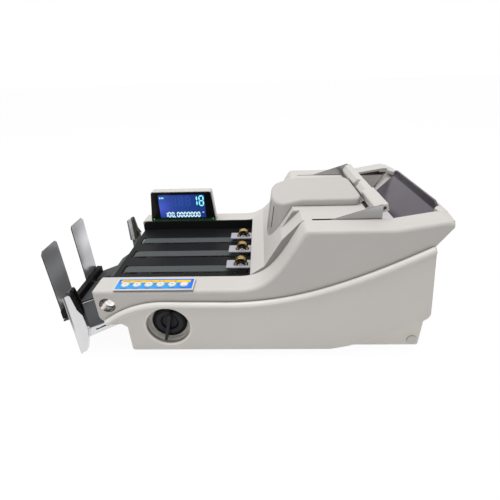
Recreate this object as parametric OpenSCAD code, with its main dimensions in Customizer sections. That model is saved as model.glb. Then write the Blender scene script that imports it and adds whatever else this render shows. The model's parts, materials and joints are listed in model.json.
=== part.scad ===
// Fanning counter for banknotes: hopper and hood on the right, fan-out tray
// in the middle, catch tray with two stop plates on the left.
// X runs along the note path, Y away from the operator, Z up from the table.

/* [Body] */
// X of the delivery end of the upper shell
shell_x0 = -152; // [-153.5:0.5:-151]
// X of the hopper end of the upper shell
shell_x1 = 225.5; // [225:0.5:228.5]
// Width across the side walls of the upper shell
shell_w = 229; // [228:0.5:231]
// Wall thickness of the shell
wall = 3; // [2.6:0.1:3.2]
// Height of the tray ledges above the table
ledge_z = 92.5; // [92:0.5:93.5]
// Height of the hopper deck
deck_z = 162; // [161:0.5:164]
// Height of the hopper rim at the rear
rim_z = 170; // [168.5:0.5:172]
// Width of a ledge beside the tray
ledge_w = 30.5; // [30.2:0.1:31]
// How far the hopper's rear wall bows out
rear_bow = 9; // [7:0.5:11]
// Radius of the shell's outer edges
edge_r = 4.5; // [3.5:0.1:5]
// Diameter of the round hole in the near left wall
port_d = 18.4; // [16:0.2:20]

/* [Side covers] */
// Height of the lower edge of the side covers
cover_z0 = 10; // [9:0.5:11]
// Thickness of the side covers
cover_t = 2.9; // [2.5:0.1:3.2]
// How far the lip stands out from the cover
lip_out = 3; // [2.4:0.1:3.4]
// Height of the lip along the top edge
lip_h = 8; // [7:0.5:9]
// Diameter of the dish round the knob
dish_d = 50.4; // [48.5:0.2:52]

/* [Base] */
// Gap between the base tray and the inside of a side cover
base_gap = 4; // [3.5:0.1:4.5]
// Inset of the base's rear wall from the hopper end
base_x1 = 2.5; // [2:0.1:3]
// Wall thickness of the base tray
base_t = 2.5; // [2.2:0.1:3]
// Diameter of the rubber feet
foot_d = 20; // [16:1:24]

/* [Hood] */
// Half width of the hood
hood_hw = 44; // [42:0.5:46]
// Height of the hood's top face above the deck
hood_z = 8.5; // [7.5:0.1:9]
// X of the front of the nose at its top
nose_x = 51; // [49.5:0.5:53.5]
// Backward lean of the nose in degrees
nose_lean = 6.6; // [5:0.2:8]
// Wall thickness of the hood
hood_t = 2.5; // [2:0.1:3]

/* [Tray] */
// Depth of the tray bed below the ledges
bed_z = 15; // [14.5:0.1:15.5]
// Thickness of the tray bed
bed_t = 2.5; // [2:0.1:3]
// Spacing of the three belts and press wheels
lane = 42; // [40:0.5:44]
// Width of a tray belt
belt_w = 15; // [13:0.5:16]
// Thickness of a tray belt
belt_t = 1.2; // [1:0.1:1.4]
// Radius of the tray rollers
roller_r = 7.5; // [7:0.1:8]
// X of the delivery shaft under the press wheels
deliver_x = 11; // [9.5:0.5:12.5]
// Distance of the idler shaft from the delivery end
idler_x = 16.5; // [15.5:0.1:18]

/* [Press wheels] */
// Diameter of a press wheel
wheel_d = 16; // [15:0.2:17]
// Width of a press wheel
wheel_w = 7.4; // [6.5:0.1:8]
// Width of a press arm
arm_w = 19; // [18:0.5:20]
// Thickness of a press arm
arm_t = 1.5; // [1.2:0.1:1.8]
// Diameter of the rod that the arms turn on
rod_d = 4; // [3.6:0.1:4.4]

/* [Display] */
// X of the middle of the display
disp_x = -85.3; // [-88.5:0.4:-82.5]
// Width of the display at its foot
disp_w0 = 104; // [100:1:106]
// Width of the display at its top
disp_w1 = 94; // [90:1:98]
// Height of the display
disp_h = 47.8; // [46:0.2:50]
// Depth of the display
disp_d = 17; // [15:0.5:19]
// Width of the screen
screen_w = 72; // [68:1:76]
// Height of the screen
screen_h = 37.4; // [35:0.2:39]

/* [Keys] */
// X of the middle of the key panel
panel_x = -82.5; // [-84.5:0.5:-80.5]
// Length of the key panel
panel_l = 89; // [87:0.5:91]
// Depth of the key panel
panel_d = 22.8; // [22:0.2:23.4]
// Spacing of the six keys
key_pitch = 13.3; // [12.5:0.1:13.6]
// Diameter of a key
key_d = 8.8; // [8:0.1:9.2]
// Travel of a key
key_travel = 0.8; // [0.5:0.1:0.8]

/* [Knob] */
// X of the knob
knob_x = -71.5; // [-73.5:0.5:-69.5]
// Height of the knob
knob_z = 44.5; // [43.5:0.1:45.5]
// Diameter of the knob
knob_d = 41; // [39:0.5:42.5]
// Turn of the knob's fin from upright in degrees
fin_turn = 14; // [0:1:20]
// Diameter of the knob's shaft
knob_shaft_d = 6; // [5:0.1:7]

/* [Flap] */
// X of the flap's pivot
flap_x = 96; // [94.5:0.5:97.5]
// Depth of the flap's pivot below the deck
flap_z = 11; // [10.6:0.1:12]
// Thickness of a flap wing
wing_t = 1.6; // [1.2:0.1:1.8]
// Width of the slots in the deck
slot_w = 3.4; // [3:0.1:3.8]
// Diameter of the flap's shaft
flap_rod_d = 6; // [5:0.1:6.4]

/* [Catch tray] */
// How far a leg stands out from the shell's side
leg_out = 1; // [0.5:0.1:1.7]
// Thickness of a leg across the tray
leg_t = 7.3; // [6.8:0.1:7.6]
// Fall of the catch floor per unit of length
fall = 0.38; // [0.36:0.01:0.4]
// Thickness of the catch floor
catch_t = 3; // [2.5:0.1:3.4]
// X of the outer face of the stop plates
stop_x = -234.5; // [-236.5:0.5:-234]
// Width of a stop plate
stop_w = 37; // [34:0.5:39]
// Gap between the two stop plates
stop_gap = 41; // [38:0.5:44]
// Height of the top of the stop plates
stop_z = 112; // [108:0.5:116]
// Thickness of a stop plate
stop_t = 1.5; // [1.2:0.1:2]

/* [Hidden] */
$fn = 64;
play = 0.1;
run = 0.3;
fit = 0.05;
hw = shell_w / 2;
well_w = shell_w - 2 * ledge_w;
iw = well_w / 2;
base_w = shell_w - 2 * base_gap;
bhw = base_w / 2;
leg_y = hw + leg_out;
tray_z = ledge_z - bed_z;
belt_top = tray_z + 0.7;
axis_z = belt_top - belt_t - run - roller_r;
wheel_z = belt_top + run + wheel_d / 2;
pivot_x = deliver_x + 24.5;
pivot_z = wheel_z - 4.5;
idle_x = shell_x0 + idler_x;
hop_x = shell_x1 - 69.5;
hop_z = deck_z - 22;
hood_top = deck_z + hood_z;
hinge_z = deck_z - flap_z;
base_x0 = shell_x0 + 35.5;
base_end = shell_x1 - base_x1;
frame_y = bhw - 12.5;
frame_t = 2;
port_x = shell_x0 + 14.8;
port_y = frame_y + 2;
port_z = ledge_z - 18.9;
feed_x = hop_x - 13.5;
feed_z = deck_z - 50;
pick_x = hop_x + 22.5;
pick_z = deck_z - 47;
motor_x = 90.5;
motor_z = cover_z0 + 36;
pulley_y0 = frame_y + 2.5;
pulley_y1 = bhw - base_t - 1;
catch_x = base_x0 - 0.4;
catch_z = 55.5;
key_z = ledge_z + 1;
rise_x0 = base_end - 105.5;
rise_x1 = base_end - 83.5;
inlet_y = bhw - 47.5;
switch_y = bhw - 91.5;
inlet_z = cover_z0 + 19;
groove = 1.5;
hole_play = 0.3;

function bez(a, b, c, d, t) =
  a * pow(1 - t, 3) + 3 * b * t * pow(1 - t, 2) + 3 * c * t * t * (1 - t) + d * t * t * t;
function curve(a, b, c, d, n = 16) = [for (i = [0:n]) bez(a, b, c, d, i / n)];
function rev(v) = [for (i = [len(v) - 1:-1:0]) v[i]];
function shift(v, d) = [for (p = v) p + d];
function flip(v) = [for (i = [len(v) - 1:-1:0]) [v[i][0], -v[i][1]]];

// Solid with an X-Z outline between two Y planes
module prism(pts, y0, y1)
  translate([0, y1, 0]) rotate([90, 0, 0]) linear_extrude(height = y1 - y0) polygon(pts);

// Solid with a Y-Z outline between two X planes
module slab(pts, x0, x1)
  translate([x0, 0, 0]) rotate([90, 0, 90]) linear_extrude(height = x1 - x0) polygon(pts);

module rod(x, z, y0, y1, d)
  translate([x, y1, z]) rotate([90, 0, 0]) cylinder(h = y1 - y0, d = d);

module block(x0, x1, y0, y1, z0, z1)
  translate([x0, y0, z0]) cube([x1 - x0, y1 - y0, z1 - z0]);

module both() {
  children();
  mirror([0, 1, 0]) children();
}

// Unit normal, to the right of the way, of each step of an X-Z path
function normals(v) = [for (i = [0:len(v) - 2]) let (d = v[i + 1] - v[i]) [d[1], -d[0]] / norm(d)];

// Profile of [y, depth below the path] points carried along an X-Z path
module sweep(path, profile) {
  n = normals(path);
  last = len(path) - 1;
  k = len(profile);
  way = [for (i = [0:last]) let (a = n[max(i - 1, 0)], b = n[min(i, last - 1)]) (a + b) / (1 + a * b)];
  polyhedron(
    [for (i = [0:last]) for (p = profile) [path[i][0] + p[1] * way[i][0], p[0],
      path[i][1] + p[1] * way[i][1]]],
    concat([[for (j = [k - 1:-1:0]) j], [for (j = [0:k - 1]) last * k + j]],
      [for (i = [0:last - 1]) for (j = [0:k - 1])
        [i * k + j, i * k + (j + 1) % k, (i + 1) * k + (j + 1) % k, (i + 1) * k + j]]));
}

// Top line of the ledges, shoulders, deck edges and hopper rims
shoulder = curve([13.5, ledge_z], [45.5, ledge_z + 1], [57.5, ledge_z + 25.5], [80, deck_z - 3.5]);
rail_end = [[hop_x + 15.5, deck_z], [shell_x1 - 6, rim_z], [shell_x1 - 0.6, rim_z - 1.35]];
rail = concat([[shell_x0, ledge_z]], shoulder, [[84, deck_z]], rail_end);
rail_under = concat([[shell_x0, ledge_z - wall], [13.5, ledge_z - wall]],
  [for (i = [1:16]) shoulder[i] + 0.73 * [wall, -wall]], [[87, deck_z - wall]], shift(rail_end,
    [0, -wall]));

// Rising lip of the side covers
lip_left = curve([shell_x0 + 8, 54], [shell_x0 + 25.5, 67.5], [shell_x0 + 49.5, 79.5],
  [shell_x0 + 79.5, 79.5]);
lip_right = curve([0.5, 78.3], [65.5, 78.3], [shell_x1 - 100, 98], [shell_x1 - 16, deck_z - 17.5]);
lip = concat(lip_left, lip_right);
shell_foot = [for (p = rev(lip)) if (p[0] > shell_x0 + 25.5 && p[0] < shell_x1 - 25) p - [0, 12]];

// Rear wall of the hopper, bowed out across its width and thicker behind the rims
function bow(y) = rear_bow * (1 - pow(abs(y) / hw, 4));

module rear_wall() {
  ys = concat([for (i = [8:-1:0]) -iw - (hw - iw) * i / 8], [for (i = [-8:8]) (iw - 0.6) * i / 8],
    [for (i = [0:8]) iw + (hw - iw) * i / 8]);
  last = len(ys) - 1;
  polyhedron(
    [for (y = ys) let (out = bow(y), in = abs(y) < iw ? out : 0) each [
      [shell_x1 + out, y, rim_z - 1.5], [shell_x1 + out, y, rim_z - 6], [shell_x1 - 16 + out, y, hop_z],
      [shell_x1 - 14.5 - wall, y, hop_z], [shell_x1 - wall - 0.5 + in, y, rim_z - 6.7],
      [shell_x1 - wall - 0.5 + in, y, rim_z - 1]]],
    concat([[for (j = [0:5]) j], [for (j = [5:-1:0]) last * 6 + j]],
      [for (i = [0:6:6 * last - 6]) for (j = [0:5]) [i + j, i + 6 + j, i + 6 + (j + 1) % 6]],
      [for (i = [0:6:6 * last - 6]) for (j = [0:5]) [i + j, i + 6 + (j + 1) % 6, i + (j + 1) % 6]]));
}

// What a rounded corner takes off, in [y, depth] along the rail
edge_cut = concat([[hw + 1, edge_r]],
  [for (i = [0:4]) [hw - edge_r * (1 - cos(22.5 * i)), edge_r * (1 - sin(22.5 * i))]],
  [[hw - edge_r, -1], [hw + 1, -1]]);
edge_path = concat([[shell_x0 - 1, ledge_z]], shoulder, [[84, deck_z]],
  [rail_end[0], rail_end[1], rail_end[2] + [3, -0.75]]);

module upper_shell() {
  color("gainsboro") difference() {
    union() {
      both() {
        prism(concat(rail, [[shell_x1 - 0.6, rim_z - 6], [shell_x1 - 16.6, hop_z]], shell_foot,
          [[shell_x0 + 6.5, 51], [shell_x0, 57]]), hw - wall, hw);
        prism(concat(rail, rev(rail_under)), iw, hw);
        block(shell_x0, shell_x0 + wall, iw, hw, 57, ledge_z);
        prism([[hop_x - 10.5, hop_z - 20], [hop_x + 39.5, hop_z - 20], [hop_x + 50, hop_z - 1],
          [hop_x + 63.5, deck_z - wall + 0.2], [hop_x - 10.5, deck_z - wall + 0.2]],
          iw + slot_w / 2 + 0.5, iw + slot_w / 2 + 3);
        prism([[flap_x - 5, hinge_z - 5], [flap_x + 5, hinge_z - 5], [flap_x + 7, deck_z - wall + 0.2],
          [flap_x - 7, deck_z - wall + 0.2]], iw - slot_w / 2 - 4.5, iw - slot_w / 2 - 1.5);
      }
      prism([[82, deck_z], [hop_x, deck_z], [hop_x, deck_z - wall], [82 - 0.92 * wall,
        deck_z - wall]],
        -iw - 1, iw + 1);
      prism([[74, deck_z], [95.5, deck_z], [95.5, deck_z - wall], [74 - 0.6 * wall,
        deck_z - wall]], -56, 56);
      rear_wall();
      // webs that fill the hopper's rear corners
      both() translate([shell_x1, 0, rim_z - 6.1]) linear_extrude(height = 5)
        polygon([[-14, iw + 2.5], [bow(iw) - 2, iw + 2.5], [bow(iw - 16.4) - 1.5, iw - 16.4],
          [bow(iw - 16.4) - 6, iw - 16.4]]);
      rod(port_x, port_z, -hw, -port_y, port_d + 4);
    }
    both() {
      block(flap_x - 4.2, hop_x + 0.5, iw - slot_w / 2, iw + slot_w / 2, hinge_z - 10, deck_z + 1);
      prism([[hop_x, hop_z - 1], [shell_x1 - 16.6 - wall, hop_z - 1], [shell_x1 - wall - 0.5,
        rim_z - 6.7],
        [shell_x1 - wall - 0.5, rim_z + 30], [hop_x, rim_z + 30]], 0, iw + slot_w / 2);
      sweep(edge_path, edge_cut);
      difference() {
        block(shell_x0 - 1, shell_x0 + edge_r, hw - edge_r, hw + 1, 40, ledge_z + 1);
        translate([shell_x0 + edge_r, hw - edge_r, 30]) cylinder(h = 100, r = edge_r);
      }
      difference() {
        block(shell_x0 - 1, shell_x0 + edge_r - 1, iw - 1, hw + 1, ledge_z - edge_r + 1, ledge_z + 1);
        rod(shell_x0 + edge_r - 1, ledge_z - edge_r + 1, iw - 2, hw + 2, 2 * edge_r - 2);
      }
    }
    rod(flap_x, hinge_z, -iw, iw, flap_rod_d + 2 * fit);
    rod(port_x, port_z, -hw - 1, -port_y - 2, port_d);
    rod(knob_x, knob_z, -hw - 1, -hw + wall + 1, dish_d + 4 + 2 * run);
  }
}

// Ramp between the shoulders: a low ridge, one steep plane, and a shallower
// step at each side of the hood
ramp_low = [[23.8, ledge_z + 1], [40.5, ledge_z + 12.5]];
ramp_k = (deck_z - wall - play - ledge_z - 12.5) / 31.7;
ramp_mid = [60, ledge_z + 12.5 + 19.5 * ramp_k];
ramp_top = [72.2, deck_z - wall - play];
step_top = [81.9 - 0.92 * wall, deck_z - wall - play];

module ramp() {
  y1 = iw - play;
  color("gainsboro") difference() {
    union() {
      prism(concat(ramp_low, [ramp_mid, ramp_mid + [3.4, -1.9], ramp_low[1] + [2.9, -1.8],
        ramp_low[0] + [0, -2.5]]), -y1, y1);
      prism([ramp_mid, ramp_top, ramp_top + [3.5, 0], ramp_mid + [3.4, -1.9]], -56, 56);
      both() {
        prism([ramp_mid, step_top, step_top + [3.4, 0], ramp_mid + [3.4, -1.9]], 53.5, y1);
        prism([ramp_mid, ramp_top, step_top + [3.4, 0], ramp_mid + [3.4, -1.9]], 53.5, 56);
        prism(concat(ramp_low, [ramp_mid, step_top, step_top + [11, 0], [70.5, ledge_z + 35],
          [47.5, ledge_z + 3.5], [47.5, belt_top], [23.8, belt_top]]), y1 - 2.5, y1);
      }
    }
    rod(pivot_x, pivot_z, -iw - 1, iw + 1, rod_d + 2 * fit);
  }
}

// Plan of the hood: round nose, straight sides, rounded rear corners
function hood_side(i) = concat(
  rev(curve([nose_x + 19.5, -hood_hw + i], [nose_x + 4.5, -hood_hw + i], [nose_x + i,
    -hood_hw + 14], [nose_x + i, 0])),
  curve([hop_x - 13.5, -hood_hw + i], [hop_x - 5.5 - i, -hood_hw + i], [hop_x - 2.2 - i, -hood_hw + 6],
    [hop_x - 1.9 - i, -28]));
function hood_plan(i) = concat(hood_side(i), flip(hood_side(i)));

module hood_form(i, low) {
  intersection() {
    translate([nose_x, 0, hood_top - 6]) rotate([0, nose_lean, 0]) translate([-nose_x, 0, -75])
      linear_extrude(height = 110) polygon(hood_plan(i));
    prism([[35.5, ramp_low[1][1] - 5 * ramp_k + 3 * play - low], [40.5, ramp_low[1][1] + 3 * play - low],
      [74.1, deck_z + 2 * play - low], [hop_x + 4.5, deck_z + 2 * play - low], [hop_x + 4.5,
        hood_top - i], [86.5, hood_top - i],
      [75.5, hood_top - 2 - i], [63.5, hood_top - 4.9 - i], [47.5, hood_top - 6.2 - i], [35.5,
        hood_top - 7 - i]], -60, 60);
  }
}

module hood() {
  color("gainsboro") difference() {
    hood_form(0, 0);
    hood_form(hood_t, 20);
    both() {
      block(35.5, nose_x + 8, 10.8, 13.2, hood_top - 50.5, hood_top - 15.5);
      block(35.5, nose_x + 12, 28.8, 31.2, hood_top - 41.5, hood_top - 13.5);
    }
  }
}

base_r = 4;

module base() {
  color("gainsboro") difference() {
    block(base_x0, base_end, -bhw, bhw, cover_z0, 60);
    block(base_x0 + base_t, base_end - base_t, -bhw + base_t, bhw - base_t, cover_z0 + base_t, 80);
    block(base_end - 12, base_end + 1, -bhw - 1, bhw + 1, 46, 80);
    both() difference() {
      block(base_end - base_r, base_end + 1, bhw - base_r, bhw + 1, 0, 80);
      translate([base_end - base_r, bhw - base_r, -1]) cylinder(h = 90, r = base_r);
    }
    rod(knob_x, knob_z, -bhw - 1, -bhw + base_t + 1, dish_d + 8);
    block(base_end - 5, base_end + 1, inlet_y - 17, inlet_y + 17, inlet_z - 11, inlet_z + 11);
    block(base_end - 5, base_end + 1, switch_y - 11, switch_y + 11, inlet_z - 7, inlet_z + 7);
    rod(plug_x, plug_z, -bhw - 1, -bhw + base_t + 1, 9);
  }
}

plug_x = base_end - 9.9;
plug_z = cover_z0 + 8.6;

module plug() {
  color("silver") union() {
    rod(plug_x, plug_z, -bhw - 1.8, -bhw - play, 11.6);
    rod(plug_x, plug_z, -bhw - 1, -bhw + base_t, 9 - 2 * play);
  }
}

foot_x = [base_x0 + 20, base_end - 22.5];
foot_y = bhw - 25.5;

module feet() {
  color("dimgray") for (x = foot_x) for (y = [-foot_y, foot_y])
    translate([x, y, 0]) cylinder(h = cover_z0 - play, d1 = foot_d - 3, d2 = foot_d);
}

// Outline of a side cover below its lip, from the hopper end round to the delivery end
cover_low = concat(curve([base_end + 0.9, 62], [base_end + 1.3, 57], [base_end - 1.5, 53.5],
  [base_end - 6, 51.3], 6),
  [[rise_x1, cover_z0 + 5], [rise_x0, cover_z0], [base_x0, cover_z0], [base_x0 - 2, cover_z0 + 2],
    [base_x0 - 2, 45],
  [base_x0 - 8, 49.5], [base_x0 - 18, 48.5]]);
cover_edge = concat(shift(lip, [0, -groove]), curve([shell_x1 - 14, deck_z - 17 - groove],
  [shell_x1 - 12.8, deck_z - 18.5 - groove], [shell_x1 - 12.7, deck_z - 22],
  [shell_x1 - 12.3, deck_z - 25], 4), cover_low);

// Half-round bead along the lip
function bead(y) = [for (i = [0:8]) [y + lip_out * sin(22.5 * i), lip_h / 2 * (1 - cos(22.5 * i))]];

module cover() {
  y0 = hw + play;
  y1 = y0 + cover_t;
  difference() {
    union() {
      prism(cover_edge, y0, y1);
      sweep(lip, concat([[y0 + 1.2, lip_h], [y0 + 1.2, 0]], bead(y1)));
      // inward flange along the lower edges
      prism([[base_x0 - 2, 34], [base_x0 - 2, cover_z0 + 2], [base_x0, cover_z0],
        [rise_x0, cover_z0], [rise_x1, cover_z0 + 5], [base_end - 6, 51.3],
        [base_end - 6, 51.3] + [-3, 1.5], [rise_x1, cover_z0 + 5] + [-1, 3],
        [rise_x0, cover_z0 + 2.8], [base_x0 + 0.8, cover_z0 + 2.8], [base_x0 + 0.8, 34]],
        bhw + play, y0 + 0.5);
    }
    children();
  }
}

dish_y = bhw - 7;

module cover_front() {
  y1 = hw + play + cover_t;
  color("gainsboro") mirror([0, 1, 0]) union() {
    cover() {
      rod(knob_x, knob_z, bhw - 20, y1 + 20, dish_d);
      translate([knob_x, y1 - 2, knob_z]) rotate([-90, 0, 0]) cylinder(h = 2.5, d1 = dish_d - 1,
        d2 = dish_d + 6.5);
    }
    difference() {
      rod(knob_x, knob_z, dish_y - 2.5, y1 - 2, dish_d + 4);
      rod(knob_x, knob_z, dish_y, y1 + 1, dish_d);
      rod(knob_x, knob_z, bhw - 20, y1, knob_shaft_d + 2 * fit);
    }
  }
}

module cover_back() {
  color("gainsboro") cover();
}

// Half section of the knob in [radius, height]: rim, flat ring and sunk middle
module knob() {
  y0 = dish_y + 0.5;
  r = knob_d / 2;
  color("black") mirror([0, 1, 0]) union() {
    translate([knob_x, y0, knob_z]) rotate([-90, 0, 0]) rotate_extrude()
      polygon([[0, 0], [r, 0], [r, 3.6], [r - 1, 5.4], [r - 2.4, 5.4], [r - 3.2, 4.4],
        [r / 2 + 0.8, 4.4],
        [r / 2 - 0.6, 2.6], [0, 2.6]]);
    translate([knob_x, 0, knob_z]) rotate([0, fin_turn, 0])
      block(-1.7, 1.7, y0 + 2, y0 + 14, 0.8 - r, r - 3.5);
    rod(knob_x, knob_z, bhw - 11.6, y0 + 1, knob_shaft_d);
  }
}

module tray_bed() {
  x0 = shell_x0 + 1.5;
  y1 = iw - play;
  r = 8;
  color("black") difference() {
    union() {
      block(x0, 31.5, -y1, y1, tray_z - bed_t, tray_z);
      both() prism(concat([[23.3, tray_z - bed_t], [23.3, ledge_z - 0.2]],
        curve([x0 + r, ledge_z - 0.2], [x0 + r / 2, ledge_z - 0.2], [x0, ledge_z - r / 2], [x0,
          ledge_z - r]),
        [[x0, tray_z - bed_t]]), y1 - 2.4, y1);
    }
    for (y = [-lane, 0, lane])
      block(idle_x - roller_r - 3.5, deliver_x + roller_r + 5, y - belt_w / 2 - 2, y + belt_w / 2 + 2,
        tray_z - bed_t - 1, tray_z + 1);
  }
}

module tray_belts() {
  r0 = roller_r + run;
  r1 = r0 + belt_t;
  color("darkslategray") for (y = [-lane, 0, lane]) difference() {
    union() {
      rod(idle_x, axis_z, y - belt_w / 2, y + belt_w / 2, 2 * r1);
      rod(deliver_x, axis_z, y - belt_w / 2, y + belt_w / 2, 2 * r1);
      block(idle_x, deliver_x, y - belt_w / 2, y + belt_w / 2, axis_z - r1, axis_z + r1);
    }
    rod(idle_x, axis_z, y - belt_w, y + belt_w, 2 * r0);
    rod(deliver_x, axis_z, y - belt_w, y + belt_w, 2 * r0);
    block(idle_x, deliver_x, y - belt_w, y + belt_w, axis_z - r0, axis_z + r0);
  }
}

module tray_shaft(x) {
  rod(x, axis_z, -frame_y - 1.5, frame_y + 1.5, 6);
  for (y = [-lane, 0, lane]) rod(x, axis_z, y - belt_w / 2 - 0.5, y + belt_w / 2 + 0.5, 2 * roller_r);
}

module pulley(x, z, r) {
  rod(x, z, pulley_y0, pulley_y1, 2 * r);
  rod(x, z, frame_y, pulley_y1 + 0.4, 6);
}

module delivery_roller() {
  color("dimgray") union() {
    tray_shaft(deliver_x);
    pulley(deliver_x, axis_z, 14);
  }
}

module idler_roller() {
  color("dimgray") tray_shaft(idle_x);
}

module press_rod() {
  color("silver") rod(pivot_x, pivot_z, -iw + play + 0.3, iw - play - 0.3, rod_d);
}

module press_arm(y) {
  z0 = pivot_z + 1.2;
  color("lavender") difference() {
    union() {
      rod(pivot_x, pivot_z, y - 6, y + 6, rod_d + 4);
      block(deliver_x - 18.5, pivot_x, y - arm_w / 2, y + arm_w / 2, z0, z0 + arm_t);
      for (s = [-1, 1]) {
        translate([0, y + s * (wheel_w / 2 + 1.3), 0])
          prism([[deliver_x - 4, z0], [deliver_x + 4, z0], [deliver_x + 2.6, wheel_z + 2.8],
            [deliver_x - 2.6, wheel_z + 2.8]], -0.7, 0.7);
      }
    }
    block(deliver_x - wheel_d / 2 - 1.2, deliver_x + wheel_d / 2 + 1.2, y - wheel_w / 2 - 0.6,
      y + wheel_w / 2 + 0.6,
      z0 - 2, z0 + arm_t + 2);
    rod(pivot_x, pivot_z, y - 20, y + 20, rod_d + 2 * fit);
    rod(deliver_x, wheel_z, y - 20, y + 20, 3 + 2 * fit);
  }
}

module press_wheel(y) {
  color("goldenrod") union() {
    difference() {
      rod(deliver_x, wheel_z, y - wheel_w / 2, y + wheel_w / 2, wheel_d);
      for (s = [-1, 1]) rod(deliver_x, wheel_z, y + s * wheel_w / 2 - 1, y + s * wheel_w / 2 + 1,
        wheel_d - 5);
      for (s = [-1, 1]) difference() {
        rod(deliver_x, wheel_z, y + s * wheel_w / 4 - 0.4, y + s * wheel_w / 4 + 0.4, wheel_d + 1);
        rod(deliver_x, wheel_z, y + s * wheel_w / 4 - 0.5, y + s * wheel_w / 4 + 0.5, wheel_d - 1);
      }
    }
    rod(deliver_x, wheel_z, y - wheel_w / 2 - 0.3, y + wheel_w / 2 + 0.3, 6.4);
    rod(deliver_x, wheel_z, y - wheel_w / 2 - 2.6, y + wheel_w / 2 + 2.6, 3);
  }
}

module press_arm_1() { press_arm(-lane); }
module press_arm_2() { press_arm(0); }
module press_arm_3() { press_arm(lane); }
module press_wheel_1() { press_wheel(-lane); }
module press_wheel_2() { press_wheel(0); }
module press_wheel_3() { press_wheel(lane); }

disp_y = iw - 1.8;
disp_z = ledge_z + 0.1;
screen_z = disp_z + (disp_h - screen_h) / 2 + 0.2;

// Front outline of the display, drawn in by i at the edges
function disp_pts(i) = [[disp_x - disp_w0 / 2 + i, disp_z + i], [disp_x + disp_w0 / 2 - i, disp_z + i],
  [disp_x + disp_w1 / 2 - i, disp_z + disp_h - i - 2], [disp_x + disp_w1 / 2 - i - 2,
    disp_z + disp_h - i],
  [disp_x - disp_w1 / 2 + i + 2, disp_z + disp_h - i], [disp_x - disp_w1 / 2 + i,
    disp_z + disp_h - i - 2]];

module display_housing() {
  color("whitesmoke") difference() {
    prism(disp_pts(0), disp_y + 2.2, disp_y + disp_d);
    prism(disp_pts(2.2), disp_y + 1, disp_y + disp_d - 2.2);
  }
}

module display_front() {
  color("black") difference() {
    union() {
      prism(disp_pts(0.8), disp_y, disp_y + 2.1);
      prism(disp_pts(2.4), disp_y + 2, disp_y + 6);
    }
    block(disp_x - screen_w / 2, disp_x + screen_w / 2, disp_y - 1, disp_y + 9, screen_z,
      screen_z + screen_h);
    for (s = [-1, 1]) rod(disp_x + s * (disp_w0 / 2 - 5), disp_z + 3.4, disp_y - 1, disp_y + 9, 2.2);
  }
}

module display_screen() {
  color("navy") block(disp_x - screen_w / 2 + play, disp_x + screen_w / 2 - play, disp_y + 0.6,
    disp_y + 5.6,
    screen_z + play, screen_z + screen_h - play);
}

module display_lamps() {
  color("limegreen") for (s = [-1, 1])
    rod(disp_x + s * (disp_w0 / 2 - 5), disp_z + 3.4, disp_y - 0.4, disp_y + 5, 2);
}

panel_y = -iw - 18.7;
function key_x(i) = panel_x + (i - 3.5) * key_pitch;

module key_holes(d)
  for (i = [1:6]) translate([key_x(i), panel_y - 1.2, ledge_z - 2]) cylinder(h = 6, d = d);

module key_plate() {
  color("whitesmoke") difference() {
    block(panel_x - panel_l / 2, panel_x + panel_l / 2, panel_y - panel_d / 2,
      panel_y + panel_d / 2, ledge_z, ledge_z + 2.2);
    block(panel_x - panel_l / 2 + 1.4, panel_x + panel_l / 2 - 1.4, panel_y - panel_d / 2 + 1.4,
      panel_y + panel_d / 2 - 1.4, ledge_z + 1.7, ledge_z + 3);
    key_holes(key_d + 2 * hole_play);
  }
}

module key_face() {
  color("dodgerblue") difference() {
    block(panel_x - panel_l / 2 + 1.5, panel_x + panel_l / 2 - 1.5, panel_y - panel_d / 2 + 1.5,
      panel_y + panel_d / 2 - 1.5, ledge_z + 1.75, ledge_z + 2.3);
    key_holes(key_d + 2 * hole_play);
  }
}

module key(i)
  color("white") translate([key_x(i), panel_y - 1.2, key_z]) union() {
    cylinder(h = 1.7, d = key_d);
    translate([0, 0, 1.6]) cylinder(h = 0.6, d1 = key_d, d2 = key_d - 1.6);
  }

module key_1() { key(1); }
module key_2() { key(2); }
module key_3() { key(3); }
module key_4() { key(4); }
module key_5() { key(5); }
module key_6() { key(6); }

bar_x = hop_x + 0.5;
bar_z = deck_z + 3.6;
bar_t = 1.6;

// The bar is wider on the near half, with a pocket in its end and a round notch
module flap_bar() {
  y1 = iw - wing_t / 2 - play;
  color("gainsboro") translate([bar_x, 0, bar_z]) difference() {
    union() {
      prism([[1.4, 0], [0, 7.6], [1.2, 9], [13, 12.6], [15.4, 4.6]], -y1, -28);
      prism([[1.4, 0], [0.6, 3.9], [4.4, 10], [11, 12], [13.4, 4]], -28.1, y1);
    }
    prism([[1.4 + bar_t, 2.6], [2 * bar_t, 6.6], [11.4, 9.3], [12.2, 6.4]], -y1 - 1, -y1 + 5);
    translate([0.5, 8, -6]) cylinder(h = 30, d = 13);
  }
}

module flap_wing() {
  color("silver") difference() {
    prism([[flap_x - 6, hinge_z + 0.5], [flap_x - 3.7, hinge_z + 4.2], [bar_x + 6.6, bar_z + 12],
      [bar_x + 8, bar_z + 11.4],
      [bar_x + 8.6, bar_z - 7.6], [flap_x + 2.5, hinge_z - 6.2], [flap_x - 3.5, hinge_z - 5.4]],
      iw - wing_t / 2, iw + wing_t / 2);
    rod(flap_x, hinge_z, 0, 2 * iw, flap_rod_d);
  }
}

module flap_wing_front() { mirror([0, 1, 0]) flap_wing(); }
module flap_wing_back() { flap_wing(); }

module flap_shaft() {
  color("silver") rod(flap_x, hinge_z, -iw - wing_t / 2 - 0.4, iw + wing_t / 2 + 0.4, flap_rod_d);
}

module hopper_floor() {
  y1 = iw + slot_w / 2 + 0.4;
  color("silver") difference() {
    prism([[hop_x + 2.5, deck_z - 40], [hop_x + 45.5, deck_z - 25], [hop_x + 46.1, deck_z - 26.9],
      [hop_x + 3.1, deck_z - 41.9]],
      -y1, y1);
    for (y = [-42, 42]) block(pick_x - 16, pick_x + 16, y - 13, y + 13, pick_z - 5, pick_z + 35);
  }
}

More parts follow.
